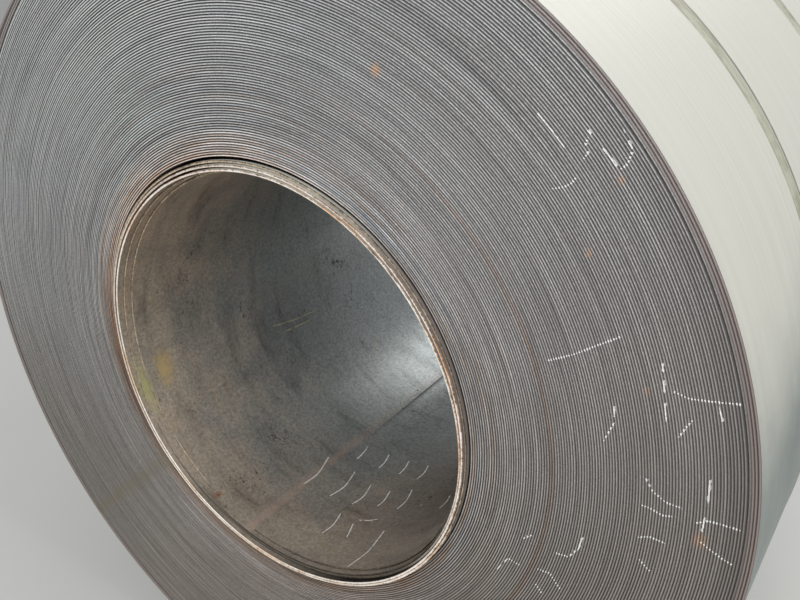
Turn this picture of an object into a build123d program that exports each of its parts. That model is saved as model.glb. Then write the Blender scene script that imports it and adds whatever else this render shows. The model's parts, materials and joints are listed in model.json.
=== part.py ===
from build123d import *
import os
from math import cos, radians, sin

os.makedirs("parts", exist_ok=True)

# A coil of hot-rolled steel strip, lying on its side. Millimetres, +Z up.
# The coil's axis runs along Y, and its front end faces -Y.
# The origin is on the floor, under the middle of the coil's overall length.
# Angles are seen from the front: 0 is to the right (+X), 90 is up, anticlockwise.

# The strip
strip_width = 1250.0
strip_thickness = 3.75
air_between_turns = 0.05
turn_pitch = strip_thickness + air_between_turns

# The innermost laps have come loose and hang in two groups, an outer one and an inner one.
# Each group has dropped off centre, and each lap in it has slid forwards by its own amount,
# given from the outermost lap to the innermost.
outer_slides = [7.0, 12.0]
inner_slides = [15.0, -5.0, -20.0]
outer_drop = 2.7
inner_drop = 4.2
drop_angle = 285.0

# The wound coil, from the bore outwards: each group rests on what lies outside it
bore_radius = 359.4
packed_turns = 103
inner_group_radius = bore_radius + len(inner_slides) * turn_pitch
outer_group_bore = inner_group_radius + inner_drop - outer_drop
outer_group_radius = outer_group_bore + len(outer_slides) * turn_pitch
pack_inner_radius = outer_group_radius + outer_drop
coil_radius = pack_inner_radius + packed_turns * turn_pitch

# The packed turns have slid too, a little, in bands of turns that moved together.
# The slides are forwards and are taken in order from the bore outwards, over and over.
turns_per_band = 13
band_slides = [0.0, 1.5, -0.5, 1.0, -1.5]

# The open part of the gap above each loose group, each way from its middle
gap_half_angle = 120.0

# The strip's two ends, each a step one strip thick that fades out round the coil
inner_end_angle = 257.0
outer_end_angle = 285.0
end_fade_angle = 60.0

# The straps and their seals
strap_width = 32.0
strap_thickness = 0.9
strap_clearance = 0.3
first_strap_place = 342.0     # from the front end to the middle of the strap
second_strap_place = 754.0
strap_tail = 24.0             # how far a strap's lapped end runs out of its seal
first_seal_angle = 104.0
second_seal_angle = 111.0
seal_length = 57.0
seal_thickness = 1.5
seal_clearance = 0.3
crimp_width = 7.0
crimp_depth = 3.5
crimp_spacing = 19.0

# Places in the frame
strap_inner_radius = coil_radius + strap_clearance
strap_outer_radius = strap_inner_radius + strap_thickness
axis_height = strap_outer_radius
front_slide = max(outer_slides + inner_slides)
back_slide = -min(outer_slides + inner_slides)
overall_length = strip_width + front_slide + back_slide
front_y = front_slide - overall_length / 2
back_y = front_y + strip_width

coil_axis = Axis((0, 0, axis_height), (0, 1, 0))


def across_plane(y):
    """The upright plane across the coil at y: local x is +X, local y is +Z, facing -Y."""
    return Plane(origin=(0, y, axis_height), x_dir=(1, 0, 0), z_dir=(0, -1, 0))


def seal_plane(y, angle):
    """The plane across the coil at y, turned so that local +Y points out through the seal."""
    turn = radians(angle)
    return Plane(origin=(0, y, axis_height), x_dir=(sin(turn), 0, -cos(turn)), z_dir=(0, -1, 0))


def polar(radius, angle):
    """A point at a radius and an angle, in a plane across the coil."""
    return (radius * cos(radians(angle)), radius * sin(radians(angle)))


def gap_above(outside_radius, outside_drop, group_radius, group_drop):
    """The crescent that a dropped group of laps left above it, where it is wide enough to show."""
    gap_angle = drop_angle - 180
    reach = 2 * coil_radius
    with BuildSketch() as crescent:
        with Locations(polar(outside_drop, drop_angle)):
            Circle(outside_radius)
        with Locations(polar(group_drop, drop_angle)):
            Circle(group_radius, mode=Mode.SUBTRACT)
        with BuildLine():
            Line((0, 0), polar(reach, gap_angle - gap_half_angle))
            ThreePointArc(
                polar(reach, gap_angle - gap_half_angle),
                polar(reach, gap_angle),
                polar(reach, gap_angle + gap_half_angle),
            )
            Line(polar(reach, gap_angle + gap_half_angle), (0, 0))
        make_face(mode=Mode.INTERSECT)
    return crescent.sketch


# The coil: one solid, with the packed turns, the loose inner laps and the strip's two ends
with BuildPart() as coil:
    # The packed turns: every band is as wide as the strip, so it steps alike on both ends
    along_plane = Plane(origin=(0, 0, axis_height), x_dir=(1, 0, 0), z_dir=(0, 0, 1))
    with BuildSketch(along_plane):
        with Locations((pack_inner_radius - 2 * outer_drop, front_y)):
            Rectangle(2 * outer_drop, strip_width, align=(Align.MIN, Align.MIN))
        for band, first_turn in enumerate(range(0, packed_turns, turns_per_band)):
            band_radius = pack_inner_radius + first_turn * turn_pitch
            band_turns = min(turns_per_band, packed_turns - first_turn)
            slide = band_slides[band % len(band_slides)]
            with Locations((band_radius, front_y - slide)):
                Rectangle(band_turns * turn_pitch, strip_width, align=(Align.MIN, Align.MIN))
    revolve(axis=coil_axis)

    # The outer loose group has dropped, so its circle is off the coil's centre
    with BuildSketch(across_plane(front_y)):
        with Locations(polar(outer_drop, drop_angle)):
            Circle(outer_group_radius)
    extrude(amount=-strip_width, mode=Mode.SUBTRACT)
    with BuildSketch(across_plane(front_y)):
        add(gap_above(pack_inner_radius, 0, outer_group_radius, outer_drop))
    extrude(amount=-strip_width, mode=Mode.SUBTRACT)

    # Each loose lap is as wide as the strip and has slid along by its own amount
    for lap, slide in enumerate(outer_slides):
        with BuildSketch(across_plane(front_y - slide)):
            with Locations(polar(outer_drop, drop_angle)):
                Circle(outer_group_radius - lap * turn_pitch)
                Circle(outer_group_radius - (lap + 1) * turn_pitch, mode=Mode.SUBTRACT)
        extrude(amount=-strip_width)

    # The inner group rests on the last of them below, with a gap above
    with BuildSketch(across_plane(front_y - outer_slides[-1])):
        with Locations(polar(outer_drop, drop_angle)):
            Circle(outer_group_bore)
        with Locations(polar(inner_drop, drop_angle)):
            Circle(inner_group_radius, mode=Mode.SUBTRACT)
        group_gap = gap_above(outer_group_bore, outer_drop, inner_group_radius, inner_drop)
        add(group_gap, mode=Mode.SUBTRACT)
    extrude(amount=-strip_width)
    for lap, slide in enumerate(inner_slides):
        with BuildSketch(across_plane(front_y - slide)):
            with Locations(polar(inner_drop, drop_angle)):
                Circle(inner_group_radius - lap * turn_pitch)
                Circle(inner_group_radius - (lap + 1) * turn_pitch, mode=Mode.SUBTRACT)
        extrude(amount=-strip_width)

    # The strip's inner end: the lap under it shows beside the step
    with BuildSketch(across_plane(front_y + back_slide)):
        with Locations(polar(inner_drop, drop_angle)):
            with BuildLine():
                step_foot = polar(bore_radius + strip_thickness, inner_end_angle)
                step_head = polar(bore_radius - strip_thickness, inner_end_angle)
                fade_end = polar(bore_radius - strip_thickness / 4, inner_end_angle - end_fade_angle)
                fade_middle = polar(
                    bore_radius + strip_thickness / 2, inner_end_angle - end_fade_angle / 2
                )
                Line(step_head, step_foot)
                ThreePointArc(step_foot, fade_middle, fade_end)
                ThreePointArc(
                    fade_end,
                    polar(bore_radius - strip_thickness, inner_end_angle - end_fade_angle / 2),
                    step_head,
                )
            make_face()
    extrude(amount=-strip_width, mode=Mode.SUBTRACT)

    # The strip's outer end, which lies low on the right, between the straps' feet
    with BuildSketch(across_plane(front_y)):
        with BuildLine():
            step_foot = polar(coil_radius - strip_thickness, outer_end_angle)
            step_head = polar(coil_radius + strip_thickness, outer_end_angle)
            fade_end = polar(coil_radius + strip_thickness / 4, outer_end_angle + end_fade_angle)
            fade_middle = polar(
                coil_radius - strip_thickness / 2, outer_end_angle + end_fade_angle / 2
            )
            Line(step_head, step_foot)
            ThreePointArc(step_foot, fade_middle, fade_end)
            ThreePointArc(
                fade_end,
                polar(coil_radius + strip_thickness, outer_end_angle + end_fade_angle / 2),
                step_head,
            )
        make_face()
    extrude(amount=-strip_width, mode=Mode.SUBTRACT)

coil.part.label = "coil"
export_step(coil.part, "parts/coil.step")


def make_strap(y, angle):
    """One turn of flat steel strapping round the coil, its two ends lapped where the seal is."""
    with BuildPart() as strap:
        with BuildSketch(seal_plane(y, angle)):
            Circle(strap_outer_radius + strap_thickness)
            with Locations((0, coil_radius)):
                Rectangle(seal_length + 2 * strap_tail, coil_radius, mode=Mode.INTERSECT)
            Circle(strap_outer_radius)
            Circle(strap_inner_radius, mode=Mode.SUBTRACT)
        extrude(amount=strap_width / 2, both=True)
    return strap.part


def make_seal(y, angle):
    """The crimped clip that grips a strap: a plate over it, with a flange down each edge."""
    channel_radius = strap_outer_radius + strap_thickness + seal_clearance
    channel_width = strap_width + 2 * seal_clearance
    seal_width = channel_width + 2 * seal_thickness
    with BuildPart() as seal:
        with BuildSketch(seal_plane(y, angle)):
            Circle(channel_radius + seal_thickness)
            Circle(strap_inner_radius, mode=Mode.SUBTRACT)
            with Locations((0, coil_radius)):
                Rectangle(seal_length, coil_radius, mode=Mode.INTERSECT)
        extrude(amount=seal_width / 2, both=True)
        # The channel that the strap's two layers run through
        with BuildSketch(seal_plane(y, angle)):
            Circle(channel_radius)
        extrude(amount=channel_width / 2, both=True, mode=Mode.SUBTRACT)
        # The crimps, a pair of notches in each edge
        with BuildSketch(seal_plane(y - seal_width / 2, angle)) as crimps:
            with Locations((0, coil_radius)):
                with GridLocations(crimp_spacing, 1, 2, 1):
                    Rectangle(crimp_width, coil_radius)
        extrude(crimps.sketch, amount=-crimp_depth, mode=Mode.SUBTRACT)
        with BuildSketch(seal_plane(y + seal_width / 2, angle)) as far_crimps:
            add(crimps.sketch_local)
        extrude(far_crimps.sketch, amount=crimp_depth, mode=Mode.SUBTRACT)
    return seal.part


strapped = [(first_strap_place, first_seal_angle), (second_strap_place, second_seal_angle)]
for number, (place, angle) in enumerate(strapped, start=1):
    strap = make_strap(front_y + place, angle)
    strap.label = f"strap_{number}"
    export_step(strap, f"parts/{strap.label}.step")
    seal = make_seal(front_y + place, angle)
    seal.label = f"seal_{number}"
    export_step(seal, f"parts/{seal.label}.step")
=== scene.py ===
import json
from math import cos, pi, radians, sin

import bpy
import numpy as np
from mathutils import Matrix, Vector


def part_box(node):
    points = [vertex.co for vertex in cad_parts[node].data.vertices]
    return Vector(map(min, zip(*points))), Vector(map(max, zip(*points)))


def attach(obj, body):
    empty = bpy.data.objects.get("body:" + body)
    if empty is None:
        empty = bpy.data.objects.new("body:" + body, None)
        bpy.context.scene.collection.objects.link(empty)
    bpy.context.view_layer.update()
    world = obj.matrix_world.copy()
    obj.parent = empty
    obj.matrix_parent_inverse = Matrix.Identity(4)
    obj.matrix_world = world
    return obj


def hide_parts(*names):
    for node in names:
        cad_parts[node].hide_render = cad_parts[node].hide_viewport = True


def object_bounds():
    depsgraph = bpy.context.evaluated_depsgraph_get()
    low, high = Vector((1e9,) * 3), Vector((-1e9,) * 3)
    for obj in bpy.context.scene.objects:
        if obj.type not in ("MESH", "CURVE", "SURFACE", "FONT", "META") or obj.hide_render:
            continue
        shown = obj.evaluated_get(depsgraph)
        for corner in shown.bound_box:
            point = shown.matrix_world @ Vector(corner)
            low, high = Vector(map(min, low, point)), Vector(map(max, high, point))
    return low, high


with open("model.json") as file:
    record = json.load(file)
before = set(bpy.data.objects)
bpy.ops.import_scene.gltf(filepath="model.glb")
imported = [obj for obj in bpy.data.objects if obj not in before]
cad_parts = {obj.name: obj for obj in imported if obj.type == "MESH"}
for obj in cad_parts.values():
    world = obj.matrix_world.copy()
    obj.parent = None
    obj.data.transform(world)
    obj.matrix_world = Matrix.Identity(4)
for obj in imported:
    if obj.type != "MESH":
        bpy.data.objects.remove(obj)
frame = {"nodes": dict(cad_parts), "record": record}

# The looks of a coil of hot-rolled steel strip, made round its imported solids.
# Metres, +Z up. The coil's axis runs along Y, and its front end faces -Y.
# Angles are seen from the front: 0 is to the right (+X), 90 is up, anticlockwise.
# A winding is a place along the strip, counted in turns from the strip's inner end.
MM = 0.001
TURN = 2 * pi

cad_low, cad_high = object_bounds()
coil_low, coil_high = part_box("coil")
bore_mount = frame["record"]["mounts"][0]

# The strip, and how it is wound
STRIP_THICKNESS = 3.75 * MM
STRIP_WIDTH = bore_mount["dims"]["length_mm"] * MM
COIL_RADIUS = (coil_high.x - coil_low.x) / 2
AXIS_HEIGHT = (cad_high.z + cad_low.z) / 2
FIRST_RADIUS = bore_mount["dims"]["r_mm"] * MM + 2.5 * MM    # of the inner end, before the loose laps sagged
INNER_END_ANGLE = 257.4
OUTER_END_ANGLE = 285.0
WHOLE_TURNS = 107
WINDINGS = WHOLE_TURNS + (OUTER_END_ANGLE - INNER_END_ANGLE) / 360
PITCH = (COIL_RADIUS - STRIP_THICKNESS - FIRST_RADIUS) / WINDINGS
LOOSE_LAPS = 5
NOTCH = (0.9499, 0.9501)    # the windings on each side of the notch in the innermost lap's front edge

# How far the loose laps have slid forwards, in millimetres: (winding, slide)
SLIDES = [
    (0.0, -11.0), (0.2, -11.0), (0.5, -19.0), (0.88, -19.9), (NOTCH[0], -18.4), (NOTCH[1], -1.5), (1.2, -1.0),
    (1.69, -3.6), (1.78, -6.0), (1.91, -1.5), (2.13, 1.3), (2.2, 4.0), (2.3, 12.0), (2.36, 15.0), (2.5, 14.5),
    (2.65, 12.0), (2.8, 6.3), (2.9, 7.0), (3.04, 10.0), (3.28, 12.0), (3.45, 12.6), (3.65, 10.0), (3.8, 7.6),
    (4.04, 10.4), (4.15, 12.0), (4.25, 9.0), (4.4, 7.3), (4.62, 5.0), (4.957, 3.0), (5.08, 0.0)]
# How far they sag inwards round the coil, in millimetres: (angle, sag), and the share of it that each lap has
SAGS = [
    (0, 2.0), (25, 1.4), (50, 1.5), (80, 3.9), (100, 8.2), (115, 10.2), (135, 11.3), (150, 10.5), (187, 6.3),
    (205, 3.4), (222, 0.6), (240, 0.0), (315, 0.0), (332, 1.5), (350, 2.2)]
SAG_SHARES = [
    (0.0, 1.0), (2.7, 1.0), (3.6, 0.68), (4.0, 0.6), (4.2, 0.5), (4.3, 0.52), (4.42, 0.66), (4.6, 0.42),
    (5.0, 0.3), (5.08, 0.0)]
END_LIFT = 1.2 * MM    # how far the first stretch of the strip stands off the lap under it
END_LIFTED = (0.01, 0.25)    # where that stretch starts, and its length, in turns
RECESSED_TURN = [103.1, 103.2, 104.08, 104.18]    # a turn that lies back from the others, and its two ends
RECESS = 2.2 * MM
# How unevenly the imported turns' edges lie: (height, waves in one turn, seed)
DRIFTS = [(0.7 * MM, 0.11, 1), (0.35 * MM, 1.7, 2), (0.1 * MM, 23, 3)]

FRONT_Y = coil_low.y + max(slide for winding, slide in SLIDES) * MM
BACK_Y = FRONT_Y + STRIP_WIDTH

# The edge of each packed turn: how far across the turn and how deep from its crown
EDGE_ACROSS = [0.0, 0.22, 0.5, 0.78]
EDGE_DEPTH = [3.2 * MM, 0.55 * MM, 0.0, 0.55 * MM]
# The colours darken towards the gap as painted shade and lighten towards the crown as a painted highlight
EDGE_HEIGHT = [0.0, 0.47, 1.0, 0.47]    # the share of the way up from the gap to the crown, for the colours
EDGE_STEPS = 240               # round one turn

# The outermost lap has sprung off the pack near the front end
SPRING_ANGLES = (126.0, 184.0)
SPRING_LIFT = 8.5 * MM
SPRING_REACH = 0.30
SPRUNG_GAP = 8    # how many times its lift the gap beside that lap is deepened

# The straps and their seals
STRAP_WIDTH = 32.0 * MM
STRAP_THICKNESS = 0.9 * MM
STRAP_GAP = 0.1 * MM
STRAP_TAIL = 24.0 * MM
SEAL_LENGTH = 57.0 * MM
STRAPS = {1: (342.0 * MM, 104.0), 2: (754.0 * MM, 111.0)}    # number: (place from the front, its seal's angle)

# Chalk strokes on the front end: places along each, in millimetres from the coil's axis, right and up
CHALK_ON_EDGES = [
    [(448, 514), (465, 498), (484, 480)], [(510, 504), (531, 485), (551, 466), (559, 474), (562, 488)],
    [(511, 496), (508, 486), (513, 479), (508, 471)], [(472, 429), (487, 434), (495, 439), (501, 448)],
    [(550, 510), (555, 502), (562, 491)], [(628, 247), (635, 212), (647, 149)], [(680, 264), (697, 216), (706, 195)],
    [(645, 215), (664, 212), (693, 218), (722, 225)], [(660, 156), (667, 174), (674, 188)],
    [(578, 172), (581, 147), (571, 116)], [(627, 86), (640, 68), (659, 58), (679, 58)],
    [(628, 41), (643, 41), (657, 37), (669, 41)], [(704, 115), (706, 92), (707, 62), (706, 31)],
    [(697, 45), (712, 55), (731, 57), (751, 58)], [(705, 21), (713, 17), (731, 9), (748, 4)],
    [(632, -10), (646, -2), (666, -4)], [(636, -44), (654, -57)], [(559, -44), (555, -69), (542, -90), (522, -93)],
    [(468, -110), (473, -91), (487, -78)], [(432, -174), (452, -139), (473, -143)],
    [(498, -135), (517, -133), (535, -153)], [(497, -163), (508, -176)], [(487, 205), (519, 224), (575, 266)]]
# Chalk strokes and pale scratches in the bore: angle, and depth in millimetres
CHALK_IN_BORE = [
    [(261.3, 301), (261.3, 322), (260.4, 348)], [(269.9, 306), (270, 327), (268.5, 355)],
    [(277.7, 309), (277.8, 330), (276.3, 359)], [(285.2, 306), (285.8, 327), (284.3, 357)],
    [(255.6, 168), (256.2, 211), (253.7, 265)], [(265.5, 175), (266.7, 215), (264.7, 265)],
    [(273.7, 181), (274.9, 207), (273, 250)], [(281.3, 189), (282.4, 210), (280.6, 251)],
    [(289.2, 199), (289.8, 225), (287.5, 267)], [(296.9, 212), (297.7, 230), (296, 263)],
    [(307, 190), (308.3, 204), (306.1, 240)], [(274.3, 81), (275.2, 108), (273.4, 147)],
    [(282.8, 54), (282.9, 87), (280.2, 130)], [(292.7, 14), (294.7, 61), (292.7, 127)],
    [(280.7, 145), (284.1, 149), (286.3, 160)]]
SCRATCHES_IN_BORE = [[(204, 362), (206, 430), (207, 508)], [(208, 395), (209, 470)], [(228, 640), (232, 600)]]

# The camera, found from the rim, the bore and the strap in the photo
CAMERA_PLACE = (0.8601, FRONT_Y - 0.8808, 1.5250)
CAMERA_AIM = (0.2609, FRONT_Y, 1.0032)
CAMERA_LENS = 38.56


def ease(low, high, value):
    """0 below low, 1 above high, and a smooth rise between them."""
    share = np.clip((value - low) / (high - low), 0, 1)
    return share * share * (3 - 2 * share)


def wavy(place, seed):
    """A smooth random line from -1 to 1, with one random value at each whole number."""
    values = np.random.default_rng(seed).uniform(-1, 1, 4096)
    whole = np.floor(place).astype(int)
    share = ease(0, 1, place - whole)
    return values[whole % 4096] * (1 - share) + values[(whole + 1) % 4096] * share


def angle_at(winding):
    """The angle of a place on the strip, in radians."""
    return radians(INNER_END_ANGLE) + TURN * winding


def inner_radius(winding):
    """The radius of the strip's inner face, before any sag."""
    return FIRST_RADIUS + PITCH * winding


def smooth_ring(pairs):
    """Values at every degree round the coil, smoothed from a few given ones."""
    angles, values = np.transpose(pairs)
    ring = np.interp(np.arange(1080) % 360, angles, values, period=360)
    weights = np.exp(-((np.arange(-24, 25) / 8) ** 2))    # over about 8 degrees each way
    return np.convolve(ring, weights / weights.sum(), "same")[360:721]


SAG_RING = smooth_ring(SAGS)


def sag_at(winding):
    """How far a loose lap hangs inwards of its packed place."""
    share = np.interp(winding, *np.transpose(SAG_SHARES))
    start, length = END_LIFTED
    off_next_lap = END_LIFT * np.sin(pi * np.clip((winding - start) / length, 0, 1))
    return off_next_lap + MM * share * np.interp(np.degrees(angle_at(winding)) % 360, np.arange(361), SAG_RING)


def slide_at(winding):
    """How far the strip has slid forwards: a lot in the loose laps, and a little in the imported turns."""
    loose = MM * np.interp(winding, *np.transpose(SLIDES))
    drift = sum(height * wavy(winding * waves, seed) for height, waves, seed in DRIFTS)
    recessed = np.interp(winding, RECESSED_TURN, [0, RECESS, RECESS, 0])
    return loose + drift * ease(LOOSE_LAPS, LOOSE_LAPS + 0.1, winding) - recessed


def spring_at(angle, depth):
    """How far the outermost lap stands off the pack, at an angle in radians and a depth from the front."""
    degrees_round = np.degrees(angle) % 360
    low, high = SPRING_ANGLES
    share = np.clip((degrees_round - low) / (high - low), 0, 1)
    return SPRING_LIFT * np.sin(pi * share) ** 1.3 * (1 - ease(0, SPRING_REACH, depth))


def place_at(winding, radius, y):
    """Points at a winding's angle and a radius, let down by the sag there."""
    angle = angle_at(winding)
    radius = radius - sag_at(winding)
    return np.stack(np.broadcast_arrays(radius * np.cos(angle), y, AXIS_HEIGHT + radius * np.sin(angle)), axis=-1)


def make_piece(name, points, faces, materials, replaces=(), slot=None, winding=None, height=None, sharp=35,
               material_of_face=None):
    """A mesh piece that rides on the coil, smooth but for edges sharper than the given angle."""
    mesh = bpy.data.meshes.new(name)
    mesh.from_pydata(points.reshape(-1, 3).tolist(), [], [[int(corner) for corner in face] for face in faces])
    mesh.shade_smooth()
    mesh.set_sharp_from_angle(angle=radians(sharp))
    for material in materials:
        mesh.materials.append(material)
    if material_of_face is not None:
        mesh.polygons.foreach_set("material_index", np.asarray(material_of_face, dtype=np.int32))
    if winding is not None:
        angle = angle_at(winding)
        values = np.stack([np.cos(angle), np.sin(angle), winding], axis=-1)
        attribute = mesh.attributes.new("winding", "FLOAT_VECTOR", "POINT")
        attribute.data.foreach_set("vector", values.astype(np.float32).ravel())
    if height is not None:
        attribute = mesh.attributes.new("height", "FLOAT", "POINT")
        attribute.data.foreach_set("value", height.astype(np.float32))
    piece = bpy.data.objects.new(name, mesh)
    bpy.context.scene.collection.objects.link(piece)
    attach(piece, "root")
    if replaces:
        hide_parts(*replaces)


def grid_faces(columns, rows, closed_rows=False, closed_columns=False, flip=False):
    """The four-sided faces of a grid of points, column after column."""
    faces = []
    for column in range(columns if closed_columns else columns - 1):
        for row in range(rows if closed_rows else rows - 1):
            here, after = column * rows, (column + 1) % columns * rows
            face = [here + row, after + row, after + (row + 1) % rows, here + (row + 1) % rows]
            faces.append(face[::-1] if flip else face)
    return faces


# Materials

def linear(hex_colour):
    """An sRGB hex colour as the linear colour that a shader takes."""
    channels = [int(hex_colour[i : i + 2], 16) / 255 for i in (1, 3, 5)]
    return [c / 12.92 if c <= 0.04045 else ((c + 0.055) / 1.055) ** 2.4 for c in channels] + [1.0]


def add(tree, kind, inputs=None, stops=None, out=0, **settings):
    """Adds a node and gives one of its outputs. Each input takes a value, or an output that is linked to it."""
    node = tree.nodes.new("ShaderNode" + kind)
    for name, value in settings.items():
        setattr(node, name, value)
    for socket, value in (inputs or {}).items():
        if isinstance(value, bpy.types.NodeSocket):
            tree.links.new(value, node.inputs[socket])
        else:
            node.inputs[socket].default_value = value
    if stops:
        ramp = node.color_ramp
        while len(ramp.elements) < len(stops):
            ramp.elements.new(1.0)
        for element, (place, colour) in zip(ramp.elements, stops):
            element.position = place
            element.color = linear(colour)
    return node.outputs[out] if node.outputs else None


def new_material(name):
    """An empty material, its tree and its one shader."""
    material = bpy.data.materials.new(name)
    material.use_nodes = True
    tree = material.node_tree
    tree.nodes.clear()
    surface = add(tree, "BsdfPrincipled")
    add(tree, "OutputMaterial", {"Surface": surface})
    return material, tree, surface.node


def plain(name, colour, roughness, metallic):
    """A material of one even colour, for what isn't part of the coil."""
    material, _, shader = new_material(name)
    shader.inputs["Base Color"].default_value = linear(colour)
    shader.inputs["Roughness"].default_value = roughness
    shader.inputs["Metallic"].default_value = metallic
    return material


# In a colour mix, inputs 0, 6 and 7 are the factor and the two colours, and output 2 is the result
COLOURS = {"data_type": "RGBA", "out": 2}
TINT = {"blend_type": "MULTIPLY", **COLOURS}

# How fine the patterns are, in spots for each metre, and the millimetres from spot to spot. Real grain
# is too fine to show from the camera's place, so every grain is drawn coarser than it is.
CHALK_GRAIN = 500.0        # 2.0
EDGE_GRAIN = 270.0         # 3.7
LAP_EDGE_GRAIN = 240.0     # 4.2
BORE_GRAIN = 170.0         # 5.9
SPANGLE = 260.0            # 3.8
RUST_SPOT_EDGE = 260.0     # 3.8
GRIT = 130.0               # 7.7
SEAL_RUST = 120.0          # 8.3
RAGGED_EDGE = 90.0         # 11
STRAP_LINE_EDGE = 60.0           # 17
STRAP_CLOUD = 30.0         # 33
DRIP_EDGE = 24.0           # 42
BORE_RUST = 11.0           # 91
PIT_CLUSTERS = 9.0         # 111
DUST_CLOUD = 6.0           # 167


def around_axis(tree):
    """Where a point is, measured from the front end of the coil's axis."""
    place = add(tree, "TexCoord", out="Object")
    return add(tree, "VectorMath", {0: place, 1: (0, FRONT_Y, AXIS_HEIGHT)}, operation="SUBTRACT")


def patch(tree, place, centre, size, seed, raggedness=RAGGED_EDGE):
    """A blotch with a ragged edge: 1 in its middle and 0 outside."""
    across = add(tree, "VectorMath", {0: place, 1: centre}, operation="SUBTRACT")
    across = add(tree, "VectorMath", {0: across, 1: size}, operation="DIVIDE")
    away = add(tree, "VectorMath", {0: across}, operation="LENGTH", out="Value")
    moved = add(tree, "VectorMath", {0: place, 1: (seed, seed, seed)})
    ragged = add(tree, "TexNoise", {"Vector": moved, "Scale": raggedness, "Detail": 6.0, "Roughness": 0.7})
    reach = add(tree, "Math", {0: ragged, 1: 2.2, 2: away}, operation="MULTIPLY_ADD")
    return add(tree, "MapRange", {0: reach, 1: 2.2, 2: 1.3, 3: 0.0, 4: 1.0})


def shade(tree, colour, amount):
    """A colour made darker or lighter by an amount."""
    return add(tree, "VectorMath", {0: colour, 3: amount}, operation="SCALE")


def rise(tree, place, way, low, high, least=0.0, most=1.0):
    """A value that goes from least to most between two distances along a direction."""
    along = add(tree, "VectorMath", {0: place, 1: way}, operation="DOT_PRODUCT", out="Value")
    return add(tree, "MapRange", {0: along, 1: low, 2: high, 3: least, 4: most})


def stretched_noise(tree, place, fineness, detail, roughness=0.5):
    """Noise that is finer one way than another. Its fineness is in spots for each metre or turn."""
    place = add(tree, "VectorMath", {0: place, 1: fineness}, operation="MULTIPLY")
    return add(tree, "TexNoise", {"Vector": place, "Scale": 1.0, "Detail": detail, "Roughness": roughness})


def on_bore(angle, depth):
    """A place on the bore's wall, at an angle in degrees and a depth, as around_axis gives it."""
    return (FIRST_RADIUS * cos(radians(angle)), depth, FIRST_RADIUS * sin(radians(angle)))


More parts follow.
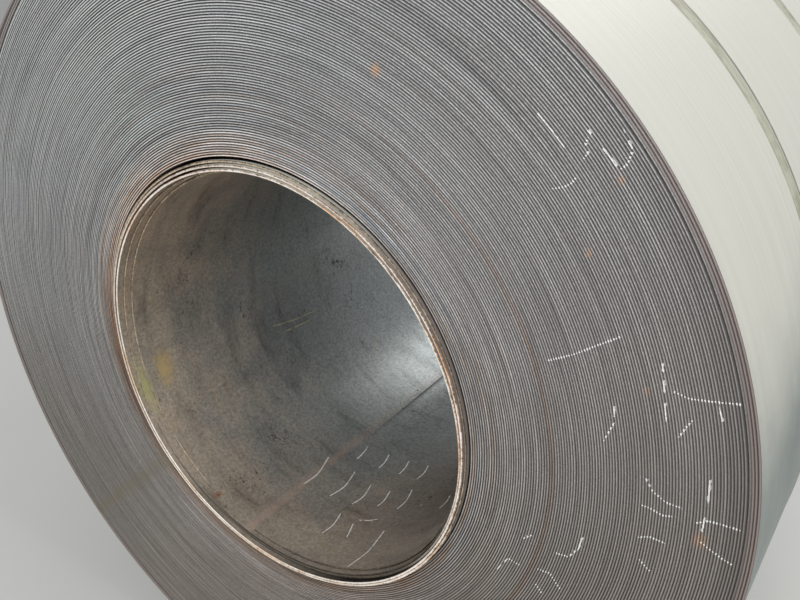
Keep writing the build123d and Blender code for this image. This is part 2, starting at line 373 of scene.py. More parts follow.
def edge_look():
    """The sheared-looking mill edge of hot-rolled strip: dark scale in the gaps, rubbed light on the crowns, with
    painted shade in the gaps and painted highlights on the crowns.
    """
    material, tree, shader = new_material("mill_edge_of_hot_rolled_strip")
    place = around_axis(tree)
    turns = add(tree, "Attribute", attribute_name="winding", out="Vector")
    height = add(tree, "Attribute", attribute_name="height", out="Fac")
    share = add(tree, "SeparateXYZ", {0: turns}, out="Z")
    share = add(tree, "Math", {0: share, 1: WINDINGS}, operation="DIVIDE")

    # Streaks that run along each turn and differ from turn to turn, broken by the rolled grain
    streak = stretched_noise(tree, turns, (1.6, 1.6, 2.3), 6.0, 0.7)
    grain = add(tree, "TexNoise", {"Vector": place, "Scale": EDGE_GRAIN, "Detail": 4.0, "Roughness": 0.75})
    # The painted shade in the gaps and the painted highlights on the crowns are stronger on the upper left and near
    # the bore
    crisp = rise(tree, place, (-0.8, 0, 0.6), 0.2, 0.6, 1.05, 1.9)
    near_bore = add(tree, "MapRange", {0: share, 1: 0.38, 2: 0.1})
    crisp = add(tree, "Math", {0: near_bore, 1: 0.35, 2: crisp}, operation="MULTIPLY_ADD")
    uneven = add(tree, "MapRange", {0: near_bore, 3: 1.0, 4: 1.9})
    streaks = add(tree, "Math", {0: streak, 1: 0.5}, operation="SUBTRACT")
    # Painted shade in the gaps and painted highlights on the crowns, from each point's height, with the streaks and
    # grain of wear
    wear_and_painted_shade = add(tree, "Math", {0: height, 1: 0.45}, operation="SUBTRACT")
    wear_and_painted_shade = add(tree, "Math", {0: wear_and_painted_shade, 1: crisp}, operation="MULTIPLY")
    wear_and_painted_shade = add(tree, "Math", {0: streaks, 1: uneven, 2: wear_and_painted_shade}, operation="MULTIPLY_ADD")
    wear_and_painted_shade = add(tree, "Math", {0: grain, 1: 1.0, 2: wear_and_painted_shade}, operation="MULTIPLY_ADD")
    wear_and_painted_shade = add(tree, "MapRange", {0: wear_and_painted_shade, 1: -0.31, 2: 1.4})
    steel = add(tree, "ValToRGB", {0: wear_and_painted_shade}, stops=[
        (0.0, "#2b2a2a"), (0.30, "#656464"), (0.55, "#858585"), (0.75, "#b0b1b2"), (1.0, "#e8e9ea")])

    # Darker arcs, a few turns wide
    arc = stretched_noise(tree, turns, (3.0, 3.0, 0.33), 4.0, 0.6)
    arc = add(tree, "MapRange", {0: arc, 1: 0.5, 2: 0.72, 3: 1.0, 4: 0.78})
    steel = shade(tree, steel, arc)

    # Each turn has its own cast, rust-brown or scale-blue, strongest near the bore and in a few rings
    ring = add(tree, "ValToRGB", {0: share}, stops=[
        (0.047, "#606060"), (0.065, "#ffffff"), (0.10, "#c8c8c8"), (0.16, "#7a7a7a"), (0.27, "#8c8c8c"),
        (0.33, "#606060"), (0.355, "#707070"), (0.375, "#505050"), (0.55, "#484848"), (0.70, "#505050"),
        (0.85, "#303030"), (0.96, "#505050")])
    cast = stretched_noise(tree, turns, (1.3, 1.3, 0.85), 6.0, 0.65)
    cast = add(tree, "ValToRGB", {0: cast}, stops=[
        (0.36, "#c2cfde"), (0.46, "#eceef0"), (0.52, "#f4efea"), (0.60, "#e0b892"), (0.70, "#b98a66")])
    cast = add(tree, "Mix", {0: ring, 6: (1, 1, 1, 1), 7: cast}, **COLOURS)
    steel = add(tree, "Mix", {0: 1.0, 6: steel, 7: cast}, **TINT)

    # The lower right is browner, and greyer and darker as painted shade, and the left is a little darker
    lower_right, lower_left = (0.45, 0, -0.9), (-0.5, 0, -0.87)
    dull = rise(tree, place, (1.0, 0, -0.5), 0.3, 0.75, 0.0, 0.5)
    steel = add(tree, "Mix", {0: dull, 6: steel, 7: linear("#908e8c")}, **COLOURS)
    low = rise(tree, place, lower_right, -0.5, 0.6)
    low = add(tree, "ValToRGB", {0: low}, stops=[(0.0, "#ffffff"), (1.0, "#ddd0c6")])
    steel = add(tree, "Mix", {0: 1.0, 6: steel, 7: low}, **TINT)
    left = rise(tree, place, (1, 0, 0), 0.0, -0.6)
    steel = add(tree, "Mix", {0: left, 6: steel, 7: linear("#dadbda")}, **TINT)

    # Painted light: lighter towards the top, and painted shade, a little warm, towards the floor on the lower left
    steel = shade(tree, steel, rise(tree, place, lower_right, -0.35, -0.55, 1.0, 1.13))
    bottom = rise(tree, place, lower_left, 0.3, 0.55)
    steel = add(tree, "Mix", {0: bottom, 6: steel, 7: linear("#f2efe9")}, **TINT)
    outermost = add(tree, "MapRange", {0: share, 1: 0.86, 2: 0.98})
    outermost = add(tree, "Math", {0: outermost, 1: dull}, operation="MULTIPLY")
    steel = add(tree, "Mix", {0: outermost, 6: steel, 7: linear("#55514f")}, **COLOURS)

    # The first turns are warmer on the left, where rust has dusted them, and lighter above the bore
    first = add(tree, "MapRange", {0: share, 1: 0.17, 2: 0.06})
    for way, near, far, tint in [
        ((-0.92, 0, 0.15), -0.05, 0.2, "#fae6d9"), (lower_left, -0.05, 0.28, "#e4d2c0")]:
        warm = add(tree, "Math", {0: rise(tree, place, way, near, far), 1: first}, operation="MULTIPLY")
        steel = add(tree, "Mix", {0: warm, 6: steel, 7: linear(tint)}, **TINT)
    above = rise(tree, place, (-0.5, 0, 0.85), 0.1, 0.34)
    lighter = add(tree, "Math", {0: above, 1: first}, operation="MULTIPLY")
    lighter = add(tree, "Math", {0: lighter, 1: 0.6, 2: 1.0}, operation="MULTIPLY_ADD")
    steel = shade(tree, steel, lighter)

    # One ring of brighter rust, on the right
    ring = add(tree, "ValToRGB", {0: share}, stops=[
        (0.325, "#000000"), (0.343, "#606060"), (0.349, "#ffffff"), (0.356, "#d0d0d0"), (0.362, "#000000")])
    right = rise(tree, place, (1, 0, 0), 0.0, 0.4)
    ring = add(tree, "Math", {0: ring, 1: right}, operation="MULTIPLY")
    ring = add(tree, "Math", {0: ring, 1: streak}, operation="MULTIPLY")
    steel = add(tree, "Mix", {0: ring, 6: steel, 7: linear("#eab48c")}, **TINT)

    # The last three turns are pinkish-brown
    rim = add(tree, "MapRange", {0: share, 1: 0.969, 2: 0.973})
    rim = add(tree, "Math", {0: rim, 1: height}, operation="MULTIPLY")
    rim = add(tree, "MapRange", {0: rim, 1: 0.2, 2: 0.7, 3: 0.0, 4: 0.7})
    steel = add(tree, "Mix", {0: rim, 6: steel, 7: linear("#90807b")}, **COLOURS)

    # An old drip of rusty water, from the bore down to the lower left
    drip_angle = radians(223)
    side = (sin(drip_angle), 0, -cos(drip_angle))
    across = add(tree, "VectorMath", {0: place, 1: side}, operation="DOT_PRODUCT", out="Value")
    across = add(tree, "Math", {0: across}, operation="ABSOLUTE")
    along = rise(tree, place, (cos(drip_angle), 0, sin(drip_angle)), 0.3, 0.36)
    ragged = add(tree, "TexNoise", {"Vector": place, "Scale": DRIP_EDGE, "Detail": 6.0, "Roughness": 0.65})
    drip = add(tree, "Math", {0: ragged, 1: 0.05, 2: across}, operation="MULTIPLY_ADD")
    drip = add(tree, "MapRange", {0: drip, 1: 0.048, 2: 0.028, 3: 0.0, 4: 0.55})
    drip = add(tree, "Math", {0: drip, 1: along}, operation="MULTIPLY")
    steel = add(tree, "Mix", {0: drip, 6: steel, 7: linear("#6a6250")}, **COLOURS)

    # Spots of fresh rust on the crowns, each with its strength
    for x, z, size, strength, seed in [
        (0.223, 0.537, 0.0085, 1.0, 1.3), (0.615, 0.205, 0.006, 0.45, 2.9), (0.553, 0.455, 0.006, 0.6, 5.1),
        (0.706, 0.021, 0.012, 0.55, 6.7), (0.525, 0.361, 0.006, 0.6, 8.2)]:
        mask = patch(tree, place, (x, 0, z), (size, 0.05, size * 1.2), seed, RUST_SPOT_EDGE)
        mask = add(tree, "Math", {0: mask, 1: strength}, operation="MULTIPLY")
        mask = add(tree, "Math", {0: mask, 1: wear_and_painted_shade}, operation="MULTIPLY")
        steel = add(tree, "Mix", {0: mask, 6: steel, 7: linear("#d3a278")}, **COLOURS)

    tree.links.new(steel, shader.inputs["Base Color"])
    shader.inputs["Metallic"].default_value = 0.25
    rough = add(tree, "MapRange", {0: wear_and_painted_shade, 3: 0.75, 4: 0.42})
    tree.links.new(rough, shader.inputs["Roughness"])
    bump = add(tree, "Bump", {"Height": grain, "Strength": 0.6, "Distance": 0.5 * MM})
    tree.links.new(bump, shader.inputs["Normal"])
    return material


def outside_look():
    """Mill scale on the coil's outside: a blue-grey oxide skin, painted paler towards the top as sunlight on it."""
    material, tree, shader = new_material("mill_scale_outside_painted_sunlit_above")
    place = around_axis(tree)
    cloud = add(tree, "TexNoise", {"Vector": place, "Scale": DUST_CLOUD, "Detail": 6.0, "Roughness": 0.6})
    steel = add(tree, "ValToRGB", {0: cloud}, stops=[(0.3, "#79827f"), (0.7, "#909892")])
    # Painted sunlight: paler towards the top, fading to the blue-grey scale lower down
    up = add(tree, "SeparateXYZ", {0: place}, out="Z")
    paleness = add(tree, "Math", {0: cloud, 1: 0.12, 2: up}, operation="MULTIPLY_ADD")
    paleness = add(tree, "MapRange", {0: paleness, 1: 0.11, 2: 0.40}, interpolation_type="SMOOTHSTEP")
    steel = add(tree, "Mix", {0: paleness, 6: steel, 7: linear("#d9d8cd")}, **COLOURS)
    # Faint rolling marks along the strip
    rolled = stretched_noise(tree, place, (2, 160, 2), 4.0)
    rolled = add(tree, "MapRange", {0: rolled, 1: 0.3, 2: 0.7, 3: 0.95, 4: 1.03})
    steel = shade(tree, steel, rolled)
    # A dark line on the wall along the far edge of each strap
    depth = add(tree, "SeparateXYZ", {0: place}, out="Y")
    ragged = add(tree, "TexNoise", {"Vector": place, "Scale": STRAP_LINE_EDGE, "Detail": 5.0, "Roughness": 0.7})
    for at_depth, _ in STRAPS.values():
        away = add(tree, "Math", {0: depth, 1: at_depth + STRAP_WIDTH / 2 + 6 * MM}, operation="SUBTRACT")
        away = add(tree, "Math", {0: away}, operation="ABSOLUTE")
        away = add(tree, "Math", {0: ragged, 1: 6 * MM, 2: away}, operation="MULTIPLY_ADD")
        far_edge_line = add(tree, "MapRange", {0: away, 1: 8 * MM, 2: 5 * MM, 3: 0.0, 4: 0.85})
        steel = add(tree, "Mix", {0: far_edge_line, 6: steel, 7: linear("#6d6a60")}, **COLOURS)
    tree.links.new(steel, shader.inputs["Base Color"])
    shader.inputs["Metallic"].default_value = 0.15
    shader.inputs["Roughness"].default_value = 0.5
    return material


def lap_side_look():
    """The mill scale on a loose lap's outside: streaked and worn where it stands out of the pack, painted paler
    towards the top as light from above, and painted shade, near black, in the gap.
    """
    material, tree, shader = new_material("worn_loose_lap_scale_with_painted_light_and_shade")
    place = around_axis(tree)
    stands_out = rise(tree, place, (0, 1, 0), 1.0 * MM, -2.5 * MM)
    streak = stretched_noise(tree, place, (9, 700, 9), 6.0, 0.65)
    steel = add(tree, "ValToRGB", {0: streak}, stops=[(0.3, "#6f6762"), (0.5, "#978d87"), (0.7, "#b9afa7")])
    # Painted light from above: paler towards the top
    up = rise(tree, place, (0, 0, 1), 0.27, 0.36, 0.0, 0.72)
    steel = add(tree, "Mix", {0: up, 6: steel, 7: linear("#e4e8dd")}, **COLOURS)
    # Painted shade in the gap: near black where the lap lies back inside the pack
    steel = add(tree, "Mix", {0: stands_out, 6: linear("#17130f"), 7: steel}, **COLOURS)
    tree.links.new(steel, shader.inputs["Base Color"])
    shader.inputs["Metallic"].default_value = 0.2
    shader.inputs["Roughness"].default_value = 0.5
    return material


def bore_look():
    """Mill scale in the bore: a dark, half-bright oxide skin with thin brown rust near the mouth, pits and stains."""
    material, tree, shader = new_material("mill_scale_in_bore")
    place = around_axis(tree)
    turns = add(tree, "Attribute", attribute_name="winding", out="Vector")
    depth = add(tree, "SeparateXYZ", {0: place}, out="Y")
    cloud = stretched_noise(tree, place, (7, 24, 7), 9.0, 0.62)
    steel = add(tree, "ValToRGB", {0: cloud}, stops=[(0.3, "#8f9392"), (0.5, "#a1a6a5"), (0.7, "#989c9b")])

    # Thin brown rust near the mouth
    rust = add(tree, "TexNoise", {"Vector": place, "Scale": BORE_RUST, "Detail": 9.0, "Roughness": 0.7})
    right = rise(tree, place, (1, 0, 0), 0.0, 0.3, 0.0, 0.35)
    reach = add(tree, "Math", {0: depth, 1: right}, operation="SUBTRACT")
    reach = add(tree, "MapRange", {0: reach, 1: 0.05, 2: 0.52, 3: 0.35, 4: -0.35})
    rusted = add(tree, "Math", {0: rust, 1: reach}, operation="ADD")
    rusted = add(tree, "MapRange", {0: rusted, 1: 0.3, 2: 0.85})
    brown = add(tree, "ValToRGB", {0: cloud}, stops=[
        (0.32, "#8f8578"), (0.45, "#aca091"), (0.6, "#baad9c"), (0.72, "#ae9a83")])
    brown = shade(tree, brown, rise(tree, place, (0, 0, 1), -0.15, -0.32, 1.0, 0.8))
    colour = add(tree, "Mix", {0: rusted, 6: steel, 7: brown}, **COLOURS)
    # Painted shade on the bore's right side, deepening inwards from the mouth
    painted_shade_on_right = add(tree, "MapRange", {0: depth, 1: 0.06, 2: 0.22, 3: 0.9, 4: 2.7})
    painted_shade_on_right = add(tree, "Math", {0: right, 1: painted_shade_on_right}, operation="MULTIPLY")
    colour = add(tree, "Mix", {0: painted_shade_on_right, 6: colour, 7: linear("#463a34")}, **COLOURS)

    # Paler on the left, where dust has settled, and warmer above
    leftward = (cos(radians(212)), 0, sin(radians(212)))
    colour = shade(tree, colour, rise(tree, place, leftward, 0.30, 0.355, 1.0, 1.2))
    above = rise(tree, place, (0, 0, 1), 0.0, 0.25)
    colour = add(tree, "Mix", {0: above, 6: colour, 7: linear("#fff2ea")}, **TINT)

    # Dark mottles in clusters, most of them on the lower left, and a fine grain over all
    mottle = stretched_noise(tree, place, (110, 170, 110), 6.0, 0.75)
    some = add(tree, "TexNoise", {"Vector": place, "Scale": PIT_CLUSTERS, "Detail": 3.0})
    mottle = add(tree, "Math", {0: some, 1: 0.7, 2: mottle}, operation="MULTIPLY_ADD")
    clustered = patch(tree, place, on_bore(223, 0.105), (0.11, 0.07, 0.11), 2.4)
    mottle = add(tree, "Math", {0: clustered, 1: 0.10, 2: mottle}, operation="MULTIPLY_ADD")
    mottle = add(tree, "MapRange", {0: mottle, 1: 1.02, 2: 1.08, 3: 0.0, 4: 0.8})
    colour = add(tree, "Mix", {0: mottle, 6: colour, 7: linear("#2f2a27")}, **COLOURS)
    grain = add(tree, "TexNoise", {"Vector": place, "Scale": BORE_GRAIN, "Detail": 5.0, "Roughness": 0.85})
    grained = add(tree, "MapRange", {0: grain, 1: 0.3, 2: 0.7, 3: 0.5, 4: 1.5})
    colour = shade(tree, colour, grained)

    # Specks of pale grit, about halfway in on the left
    cells = add(tree, "TexVoronoi", {"Vector": place, "Scale": GRIT}, out="Distance")
    kept = add(tree, "SeparateXYZ", {0: cells.node.outputs["Color"]}, out="X")
    kept = add(tree, "Math", {0: kept, 1: 0.45}, operation="LESS_THAN")
    dots = add(tree, "MapRange", {0: cells, 1: 0.2, 2: 0.12})
    dots = add(tree, "Math", {0: dots, 1: kept}, operation="MULTIPLY")
    gritty = patch(tree, place, on_bore(191, 0.42), (0.06, 0.09, 0.045), 5.6)
    dots = add(tree, "Math", {0: dots, 1: gritty}, operation="MULTIPLY")
    colour = add(tree, "Mix", {0: dots, 6: colour, 7: linear("#c4bfa8")}, **COLOURS)

    # Yellow-green and ochre stains just inside the mouth, on the left
    for angle, at_depth, size, stain, seed in [
        (201, 0.011, (0.060, 0.014, 0.060), "#dcd79c", 3.1), (198, 0.062, (0.045, 0.024, 0.045), "#e0c690", 7.7),
        (241, 0.014, (0.008, 0.016, 0.008), "#8f5c44", 9.4), (12, 0.020, (0.05, 0.022, 0.05), "#8a5a3c", 4.6)]:
        mask = patch(tree, place, on_bore(angle, at_depth), size, seed)
        mask = add(tree, "Math", {0: mask, 1: grained}, operation="MULTIPLY", use_clamp=True)
        colour = add(tree, "Mix", {0: mask, 6: colour, 7: linear(stain)}, **COLOURS)

    # Painted shade on the inside of the lap that stands out on the lower right
    number = add(tree, "SeparateXYZ", {0: turns}, out="Z")
    shaded = add(tree, "Math", {0: number, 1: LOOSE_LAPS}, operation="DIVIDE")
    shaded = add(tree, "ValToRGB", {0: shaded}, stops=[
        (0.605, "#ffffff"), (0.62, "#404040"), (0.66, "#404040"), (0.68, "#ffffff")])
    colour = add(tree, "Mix", {0: 1.0, 6: colour, 7: shaded}, **TINT)

    # A dark line where the strip's inner end steps down: painted shadow along the step, with dirt
    end_line = add(tree, "ValToRGB", {0: number}, stops=[
        (0.0, "#ffffff"), (0.003, "#a0a0a0"), (0.005, "#000000"), (0.994, "#000000"), (0.997, "#808080")])
    inner_turn = add(tree, "Math", {0: number, 1: 1.2}, operation="LESS_THAN")
    crisp = add(tree, "MapRange", {0: depth, 1: 0.35, 2: 0.60})
    inner_turn = add(tree, "Math", {0: inner_turn, 1: crisp}, operation="MULTIPLY")
    end_line = add(tree, "Math", {0: end_line, 1: inner_turn}, operation="MULTIPLY")
    smear = add(tree, "ValToRGB", {0: number}, stops=[
        (0.0, "#303030"), (0.003, "#000000"), (0.989, "#000000"), (0.993, "#f0f0f0"), (0.9995, "#f0f0f0"),
        (1.0, "#000000")])
    smear = add(tree, "Math", {0: smear, 1: rust}, operation="MULTIPLY")
    near = add(tree, "MapRange", {0: depth, 1: 0.55, 2: 0.30, 3: 0.2, 4: 1.0})
    smear = add(tree, "Math", {0: smear, 1: near}, operation="MULTIPLY")
    colour = add(tree, "Mix", {0: smear, 6: colour, 7: linear("#c8ac9c")}, **COLOURS)
    colour = add(tree, "Mix", {0: end_line, 6: colour, 7: linear("#211b17")}, **COLOURS)

    tree.links.new(colour, shader.inputs["Base Color"])
    metal = add(tree, "MapRange", {0: rusted, 3: 0.7, 4: 0.1})
    tree.links.new(metal, shader.inputs["Metallic"])
    rough = add(tree, "MapRange", {0: cloud, 1: 0.3, 2: 0.7, 3: 0.26, 4: 0.40})
    rough = add(tree, "Math", {0: mottle, 1: 0.4, 2: rough}, operation="MULTIPLY_ADD")
    tree.links.new(rough, shader.inputs["Roughness"])
    bump = add(tree, "Bump", {"Height": grain, "Strength": 0.35, "Distance": 0.3 * MM})
    tree.links.new(bump, shader.inputs["Normal"])
    return material


def lap_edge_look():
    """The edges of the loose laps: rubbed bright where they stand proud, with a painted highlight on the roundings,
    then rusted orange in stretches.
    """
    material, tree, shader = new_material("rubbed_and_rusted_strip_edge")
    place = around_axis(tree)
    turns = add(tree, "Attribute", attribute_name="winding", out="Vector")
    height = add(tree, "Attribute", attribute_name="height", out="Fac")
    streak = stretched_noise(tree, turns, (6.0, 6.0, 2.3), 8.0, 0.75)
    grain = add(tree, "TexNoise", {"Vector": place, "Scale": LAP_EDGE_GRAIN, "Detail": 4.0, "Roughness": 0.75})
    mixed = add(tree, "Math", {0: grain, 1: 1.4, 2: streak}, operation="MULTIPLY_ADD")
    mixed = add(tree, "MapRange", {0: mixed, 1: 0.8, 2: 1.6, 3: -0.25, 4: 0.7})
    # A painted highlight: the edge is brightest where its height is highest, on the roundings
    mixed = add(tree, "Math", {0: height, 1: 0.62, 2: mixed}, operation="MULTIPLY_ADD", use_clamp=True)
    bright = add(tree, "ValToRGB", {0: mixed}, stops=[
        (0.0, "#241c17"), (0.2, "#5c4433"), (0.36, "#a88e78"), (0.52, "#dacabb"), (0.72, "#efe6dc"),
        (1.0, "#f8f4ee")])
    dull = add(tree, "ValToRGB", {0: mixed}, stops=[
        (0.0, "#221d1a"), (0.4, "#51483e"), (0.6, "#8f7d68"), (0.85, "#c0ad92"), (1.0, "#d6c9b4")])
    orange = stretched_noise(tree, turns, (2.2, 2.2, 1.1), 5.0, 0.6)
    orange = add(tree, "ValToRGB", {0: orange}, stops=[
        (0.5, "#ffffff"), (0.62, "#efd3b8"), (0.72, "#d2a37c")])
    bright = add(tree, "Mix", {0: 1.0, 6: bright, 7: orange}, **TINT)
    share = add(tree, "SeparateXYZ", {0: turns}, out="Z")
    share = add(tree, "Math", {0: share, 1: LOOSE_LAPS}, operation="DIVIDE")
    proud = add(tree, "ValToRGB", {0: share}, stops=[
        (0.43, "#000000"), (0.465, "#ffffff"), (0.70, "#ffffff"), (0.735, "#b8b8b8"), (0.785, "#a8a8a8"),
        (0.80, "#c0c0c0"), (0.822, "#c0c0c0"), (0.826, "#ffffff"), (0.838, "#ffffff"), (0.848, "#404040"),
        (0.875, "#606060")])
    # Low down, the inner laps' edges are as brown as their sides
    hidden = add(tree, "ValToRGB", {0: share}, stops=[
        (0.05, "#8a8a8a"), (0.084, "#ffffff"), (0.186, "#e0e0e0"), (0.192, "#585858"), (0.26, "#707070"),
        (0.284, "#e0e0e0"), (0.37, "#e0e0e0"), (0.386, "#707070"), (0.434, "#707070"), (0.45, "#ffffff"),
        (0.845, "#ffffff"), (0.857, "#b0b0b0"), (0.88, "#ffffff")])
    dull = add(tree, "Mix", {0: 1.0, 6: dull, 7: hidden}, **TINT)
    colour = add(tree, "Mix", {0: proud, 6: dull, 7: bright}, **COLOURS)
    tree.links.new(colour, shader.inputs["Base Color"])
    shader.inputs["Metallic"].default_value = 0.2
    shader.inputs["Roughness"].default_value = 0.5
    bump = add(tree, "Bump", {"Height": grain, "Strength": 0.8, "Distance": 0.6 * MM})
    tree.links.new(bump, shader.inputs["Normal"])
    return material


def strapping_look():
    """Weathered steel strapping: its coating gone chalky and pale, with streaks along it."""
    material, tree, shader = new_material("weathered_coated_strapping")
    place = around_axis(tree)
    streak = stretched_noise(tree, place, (6, 400, 6), 5.0, 0.6)
    cloud = add(tree, "TexNoise", {"Vector": place, "Scale": STRAP_CLOUD, "Detail": 5.0, "Roughness": 0.6})
    mixed = add(tree, "Math", {0: streak, 1: cloud}, operation="ADD")
    colour = add(tree, "ValToRGB", {0: mixed}, stops=[(0.7, "#949280"), (1.0, "#a9a895"), (1.3, "#b9b8a7")])
    tree.links.new(colour, shader.inputs["Base Color"])
    shader.inputs["Roughness"].default_value = 0.55
    return material


def seal_look():
    """Zinc-coated pressed steel gone dull: a grey spangle, with brown rust started here and there."""
    material, tree, shader = new_material("dull_zinc_on_pressed_seal")
    place = around_axis(tree)
    spangle = add(tree, "TexVoronoi", {"Vector": place, "Scale": SPANGLE}, out="Color")
    spangle = add(tree, "SeparateXYZ", {0: spangle}, out="X")
    steel = add(tree, "ValToRGB", {0: spangle}, stops=[(0.0, "#a09f9b"), (1.0, "#b7b6b2")])
    rust = add(tree, "TexNoise", {"Vector": place, "Scale": SEAL_RUST, "Detail": 6.0, "Roughness": 0.7})
    rust = add(tree, "MapRange", {0: rust, 1: 0.52, 2: 0.68})
    steel = add(tree, "Mix", {0: rust, 6: steel, 7: linear("#7a5f4c")}, **COLOURS)
    tree.links.new(steel, shader.inputs["Base Color"])
    rough = add(tree, "MapRange", {0: rust, 3: 0.42, 4: 0.85})
    tree.links.new(rough, shader.inputs["Roughness"])
    metal = add(tree, "MapRange", {0: rust, 3: 0.5, 4: 0.0})
    tree.links.new(metal, shader.inputs["Metallic"])
    return material


def chalk_look(name, colour):
    """Dry chalk dust or a pale scratch, grainy and patchy."""
    material, tree, shader = new_material(name)
    place = around_axis(tree)
    grain = add(tree, "TexNoise", {"Vector": place, "Scale": CHALK_GRAIN, "Detail": 4.0, "Roughness": 0.7})
    paleness = add(tree, "MapRange", {0: grain, 1: 0.3, 2: 0.7, 3: 0.75, 4: 1.1})
    tree.links.new(shade(tree, linear(colour)[:3], paleness), shader.inputs["Base Color"])
    shader.inputs["Roughness"].default_value = 0.9
    return material


edge_steel = edge_look()
scale_steel = outside_look()
bore_steel = bore_look()
lap_edge_steel = lap_edge_look()
lap_side_steel = lap_side_look()
strapping = strapping_look()
chalk = chalk_look("white_chalk", "#f0f0ec")
pale_scratch = chalk_look("pale_scratch_in_scale", "#c4bb98")
seal_metal = seal_look()


# Pieces of the coil

def packed_turn_edges(name, end_y, inwards, **facts):
    """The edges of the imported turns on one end: a spiral of crowned edges with a gap between each and the next."""
    last = round((WINDINGS - LOOSE_LAPS) * EDGE_STEPS)
    profile = len(EDGE_ACROSS)
    steps = np.arange(last + EDGE_STEPS + 1)
    winding = LOOSE_LAPS + steps * (WINDINGS - LOOSE_LAPS) / last
    outermost = winding > WINDINGS - 1
    beyond = steps > last
    gap_depth = EDGE_DEPTH[0] * (1 + 0.3 * wavy(winding * 3.1, 4))    # no two gaps are alike
    sprung = np.where(outermost, spring_at(angle_at(winding), abs(end_y - FRONT_Y)), 0.0)
    gap_depth = np.where(beyond, EDGE_DEPTH[1], gap_depth + SPRUNG_GAP * sprung)
    slide = slide_at(np.minimum(winding, WINDINGS))
    points, places, heights = [], [], []
    for across, depth, height in zip(EDGE_ACROSS, EDGE_DEPTH, EDGE_HEIGHT):
        is_gap = across == 0
        here = slice(None) if is_gap else slice(0, last + 1)
        stands_off = np.where(beyond, sprung, 0) if is_gap else sprung
        radius = inner_radius(winding) + across * PITCH + stands_off
        radius = np.where(beyond, inner_radius(winding - 1) + STRIP_THICKNESS + sprung, radius)
        level = end_y - np.where(beyond, slide_at(winding - 1), slide) + inwards * (gap_depth if is_gap else depth)
        points.append(place_at(winding, radius, level)[here])
        places.append(winding[here])
        heights.append(np.full(len(places[-1]), height))
    starts = np.cumsum([0] + [len(p) for p in points])
    faces = []
    for row in range(profile):
        after_start = starts[row + 1] if row + 1 < profile else starts[0] + EDGE_STEPS
        for step in range(last):
            face = [starts[row] + step, starts[row] + step + 1, after_start + step + 1, after_start + step]
            faces.append(face if inwards > 0 else face[::-1])
    make_piece(name, np.concatenate(points), faces, [edge_steel], winding=np.concatenate(places),
               height=np.concatenate(heights), sharp=60, **facts)


packed_turn_edges("front_turns", FRONT_Y, 1, replaces=["coil"], slot="strip_steel")
packed_turn_edges("back_turns", BACK_Y, -1, slot="strip_steel")


def loose_laps():
    """The strip's first few turns, which have come loose in the bore: the strip with its full thickness."""
    steps = 300
    count = round((LOOSE_LAPS + 0.1) * steps)
    winding = np.sort(np.append(np.arange(count + 1) / steps, NOTCH))    # the notch is sharp
    count = len(winding) - 1
    inner = inner_radius(winding)
    outer = inner + STRIP_THICKNESS
    slide = slide_at(winding)
    rounding = 0.9 * MM
    front, back = FRONT_Y - slide, BACK_Y - slide
    section = [
        (inner, front + rounding), (inner + rounding, front), (outer - rounding, front), (outer, front + rounding),
        (outer, back - rounding), (outer - rounding, back), (inner + rounding, back), (inner, back - rounding)]
    # Shares for the edges' colours, highest on the roundings for a painted highlight
    height = [0.7, 1.0, 0.4, 0.0, 0.0, 0.4, 1.0, 0.7]
    rows = 24
    for share in np.linspace(1, 0, rows + 2)[1:-1]:
        section.append((inner, front + rounding + share * (STRIP_WIDTH - 2 * rounding)))
        height.append(0.7)
    points = np.stack([place_at(winding, radius, y) for radius, y in section], axis=1)
    faces = grid_faces(len(winding), len(section), closed_rows=True)
    looks = {0: 1, 1: 1, 2: 1, 3: 2, 4: 1, 5: 1, 6: 1}    # 0 is the bore's look, 1 the edge's, 2 the side's
    look_of_face = [looks.get(row, 0) for row in range(len(section))] * count + [1, 1]
    faces += [list(range(len(section))), list(range(count * len(section), (count + 1) * len(section)))[::-1]]
    make_piece("loose_laps", points, faces, [bore_steel, lap_edge_steel, lap_side_steel], slot="strip_steel",
               winding=np.repeat(winding, len(section)), height=np.tile(height, len(winding)),
               material_of_face=look_of_face)


loose_laps()


def outer_lap():
    """The outside of the outermost lap, with the strip's outer end as a step in it."""
    steps = 480
    edge, next_to_edge = EDGE_DEPTH[1], 15 * MM
    between = np.linspace(next_to_edge, STRIP_WIDTH - next_to_edge, 50)
    depths = np.concatenate([[edge, 3 * MM], between, [STRIP_WIDTH - edge]])
    winding = np.repeat(np.linspace(WINDINGS - 1, WINDINGS, steps + 1), len(depths))
    depth = np.tile(depths, steps + 1)
    radius = inner_radius(winding) + STRIP_THICKNESS + spring_at(angle_at(winding), depth)
    points = place_at(winding, radius, FRONT_Y + depth - slide_at(winding))
    faces = grid_faces(steps + 1, len(depths), closed_columns=True)
    make_piece("outer_lap", points, faces, [scale_steel], slot="strip_steel", winding=winding)


outer_lap()


def pack_inside():
    """The inner face of the first packed turn, seen down the gap round the loose laps."""
    steps = 240
    winding = np.repeat(LOOSE_LAPS + np.arange(steps + 1) / steps, 2)
    y = np.tile([FRONT_Y + EDGE_DEPTH[0], BACK_Y - EDGE_DEPTH[0]], steps + 1)
    points = place_at(winding, inner_radius(winding), y)
    faces = grid_faces(steps + 1, 2, flip=True)
    make_piece("pack_inside", points, faces, [bore_steel], slot="strip_steel", winding=winding)


pack_inside()


def wall_radius(angle):
    """The radius of the coil's outside at an angle in radians."""
    last_turn = (angle - radians(OUTER_END_ANGLE)) / TURN % 1.0
    return inner_radius(WINDINGS - 1 + last_turn) + STRIP_THICKNESS


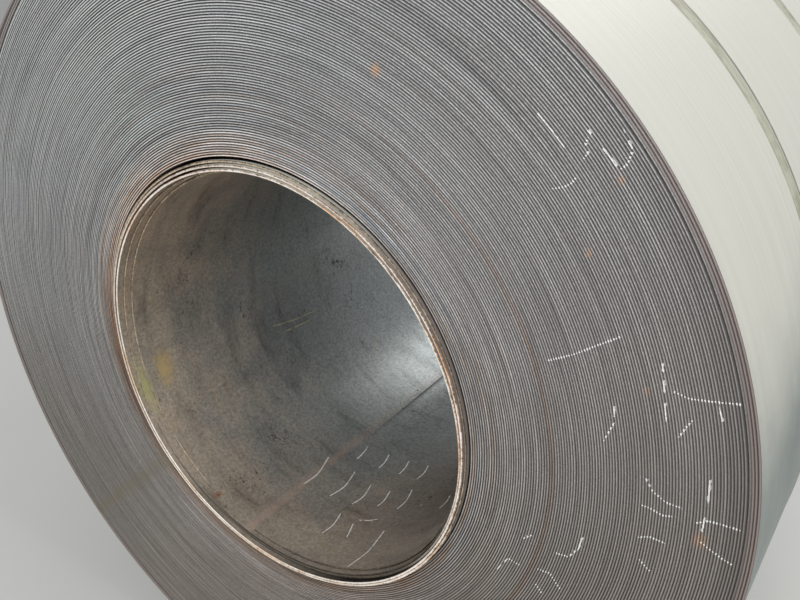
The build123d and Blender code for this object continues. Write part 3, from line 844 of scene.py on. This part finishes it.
def strap_band(number, place, seal_angle):
    """One flat strap round the coil, its two ends lapped under the seal."""
    steps = 360
    lapped = (SEAL_LENGTH / 2 + STRAP_TAIL) / COIL_RADIUS
    start = radians(seal_angle) - lapped
    angle = np.linspace(start, start + TURN + 2 * lapped, steps + 1)
    # The far end climbs onto the near one just before it, over 0.08 radians
    climb = (STRAP_THICKNESS + STRAP_GAP) * ease(start + TURN - 0.08, start + TURN, angle)
    base = wall_radius(angle) + STRAP_GAP + climb
    rounding = 0.3 * MM
    middle = FRONT_Y + place + 1.5 * MM * wavy(angle * 1.3, 10 + number)    # not quite straight
    half = STRAP_WIDTH / 2
    section = [
        (0, -half), (0, half), (STRAP_THICKNESS - rounding, half), (STRAP_THICKNESS, half - rounding),
        (STRAP_THICKNESS, -half + rounding), (STRAP_THICKNESS - rounding, -half)]
    columns = []
    for up, across in section:
        radius = base + up
        places = [radius * np.cos(angle), middle + across, AXIS_HEIGHT + radius * np.sin(angle)]
        columns.append(np.stack(places, axis=-1))
    points = np.stack(columns, axis=1)
    faces = grid_faces(steps + 1, len(section), closed_rows=True)
    faces += [list(range(len(section))), list(range(steps * len(section), (steps + 1) * len(section)))[::-1]]
    make_piece(f"strap_band_{number}", points, faces, [strapping], replaces=[f"strap_{number}"],
               slot="strap_steel")


for number, (place, seal_angle) in STRAPS.items():
    strap_band(number, place, seal_angle)
    seal = frame["nodes"][f"seal_{number}"]
    seal.data.materials.clear()
    seal.data.materials.append(seal_metal)
    pressed_edges = seal.modifiers.new("pressed_edges", "BEVEL")
    pressed_edges.width = 0.35 * MM
    pressed_edges.segments = 2


def onto_edges(flat, lift):
    """Points on the crowned edges of the front end, and whether each is near a crown."""
    radius = np.hypot(flat[:, 0], flat[:, 1])
    angle = np.arctan2(flat[:, 1], flat[:, 0])
    start = (angle - radians(INNER_END_ANGLE)) / TURN % 1.0
    turns = (radius - inner_radius(start)) / PITCH
    depth = np.interp(turns % 1.0, EDGE_ACROSS + [1.0], EDGE_DEPTH + [EDGE_DEPTH[0]])
    y = FRONT_Y - slide_at(start + np.floor(turns)) + depth - lift
    return np.stack([flat[:, 0], y, AXIS_HEIGHT + flat[:, 1]], axis=-1), abs(turns % 1.0 - 0.5) < 0.3


def onto_bore(flat, lift):
    """Points on the innermost lap, from places along its arc and depths, and whether chalk has stuck there."""
    winding = (flat[:, 0] / FIRST_RADIUS - radians(INNER_END_ANGLE)) / TURN % 1.0
    stuck = wavy(np.hypot(flat[:, 0], flat[:, 1]) / (4 * MM), 30) > -0.75    # with a bare spot now and then
    return place_at(winding, inner_radius(winding) - lift, FRONT_Y + flat[:, 1]), stuck


# Across a stroke: the share of its half width, and how far it stands off what it is drawn on
STROKE = [(-1, -0.05 * MM), (-0.5, 0.2 * MM), (0, 0.25 * MM), (0.5, 0.2 * MM), (1, -0.05 * MM)]


def strokes(name, lines, width, bend, onto_surface, material):
    """Thin raised lines, such as chalk, with round bends, left out wherever the surface doesn't hold them."""
    step = 0.6 * MM
    soften = np.hanning(2 * int(bend / step) + 1)
    points, faces = [], []
    for number, line in enumerate(lines):
        line = np.array(line, dtype=float)
        reached = np.concatenate([[0], np.cumsum(np.hypot(*np.diff(line, axis=0).T))])
        along = np.arange(0, reached[-1], step)
        middle = np.stack([np.interp(along, reached, line[:, axis]) for axis in (0, 1)], axis=-1)
        middle = np.pad(middle, ((len(soften) // 2,) * 2, (0, 0)), mode="reflect", reflect_type="odd")
        middle = np.stack([np.convolve(middle[:, axis], soften / soften.sum(), "valid") for axis in (0, 1)], axis=-1)
        way = np.gradient(middle, axis=0)
        side = np.stack([-way[:, 1], way[:, 0]], axis=-1) / np.hypot(way[:, 0], way[:, 1])[:, None]
        half = width / 2 * (0.8 + 0.35 * wavy(np.arange(len(middle)) / 5, 40 + number))[:, None]
        held = onto_surface(middle, 0)[1]
        start = sum(len(p) for p in points)
        rows = [onto_surface(middle + side * half * across, lift)[0] for across, lift in STROKE]
        points.append(np.stack(rows, axis=1).reshape(-1, 3))
        for spot in np.flatnonzero(held[:-1] & held[1:]):
            here = start + len(STROKE) * spot
            after = here + len(STROKE)
            faces += [[here + row, here + row + 1, after + row + 1, after + row] for row in range(len(STROKE) - 1)]
    used, faces = np.unique(faces, return_inverse=True)
    make_piece(name, np.concatenate(points)[used], faces.reshape(-1, 4), [material])


strokes("chalk_on_edges", [np.array(line) * MM for line in CHALK_ON_EDGES], 3.4 * MM, 5 * MM, onto_edges, chalk)
for name, lines, width, material in [
    ("chalk_in_bore", CHALK_IN_BORE, 3.0 * MM, chalk),
    ("scratches_in_bore", SCRATCHES_IN_BORE, 2.4 * MM, pale_scratch)]:
    rolled_out = [[(radians(angle) * FIRST_RADIUS, depth * MM) for angle, depth in line] for line in lines]
    strokes(name, rolled_out, width, 30 * MM, onto_bore, material)


# The stage: camera, floor, lamps and world

camera = bpy.data.objects.new("camera", bpy.data.cameras.new("camera"))
bpy.context.scene.collection.objects.link(camera)
camera.location = CAMERA_PLACE
camera.rotation_mode = "QUATERNION"
camera.rotation_quaternion = (Vector(CAMERA_AIM) - Vector(CAMERA_PLACE)).to_track_quat("-Z", "Y")
camera.data.lens = CAMERA_LENS
camera.data.sensor_width = 36.0
camera.data.clip_start = 0.05
camera.data.clip_end = 100.0
bpy.context.scene.camera = camera

floor_mesh = bpy.data.meshes.new("floor")
floor_mesh.from_pydata([(-20, -20, 0), (20, -20, 0), (20, 20, 0), (-20, 20, 0)], [], [(0, 1, 2, 3)])
floor = bpy.data.objects.new("floor", floor_mesh)
bpy.context.scene.collection.objects.link(floor)
floor_mesh.materials.append(plain("pale_floor", "#d9d8d4", 0.9, 0.0))

world = bpy.data.worlds.new("studio")
bpy.context.scene.world = world
world.use_nodes = True
world.node_tree.nodes["Background"].inputs["Color"].default_value = linear("#e9ebee")
world.node_tree.nodes["Background"].inputs["Strength"].default_value = 0.52


def softbox(name, place, aim, size, power):
    """A wide soft lamp that points at a place."""
    lamp = bpy.data.lights.new(name, "AREA")
    lamp.shape = "RECTANGLE"
    lamp.size, lamp.size_y = size
    lamp.energy = power
    holder = bpy.data.objects.new(name, lamp)
    holder.location = place
    holder.rotation_mode = "QUATERNION"
    holder.rotation_quaternion = (Vector(aim) - Vector(place)).to_track_quat("-Z", "Y")
    bpy.context.scene.collection.objects.link(holder)


softbox("key", (3.3, 0.4, 4.6), (0.2, 0.1, 0.8), (3.0, 3.0), 100)
softbox("front", (0.6, -5.0, 3.2), (0, -0.6, 0.7), (3.0, 2.4), 170)
softbox("back", (-0.2, 4.05, 3.5), (-1.35, 0.45, 0.5), (2.3, 1.9), 36)

bpy.context.scene.view_settings.view_transform = "Standard"
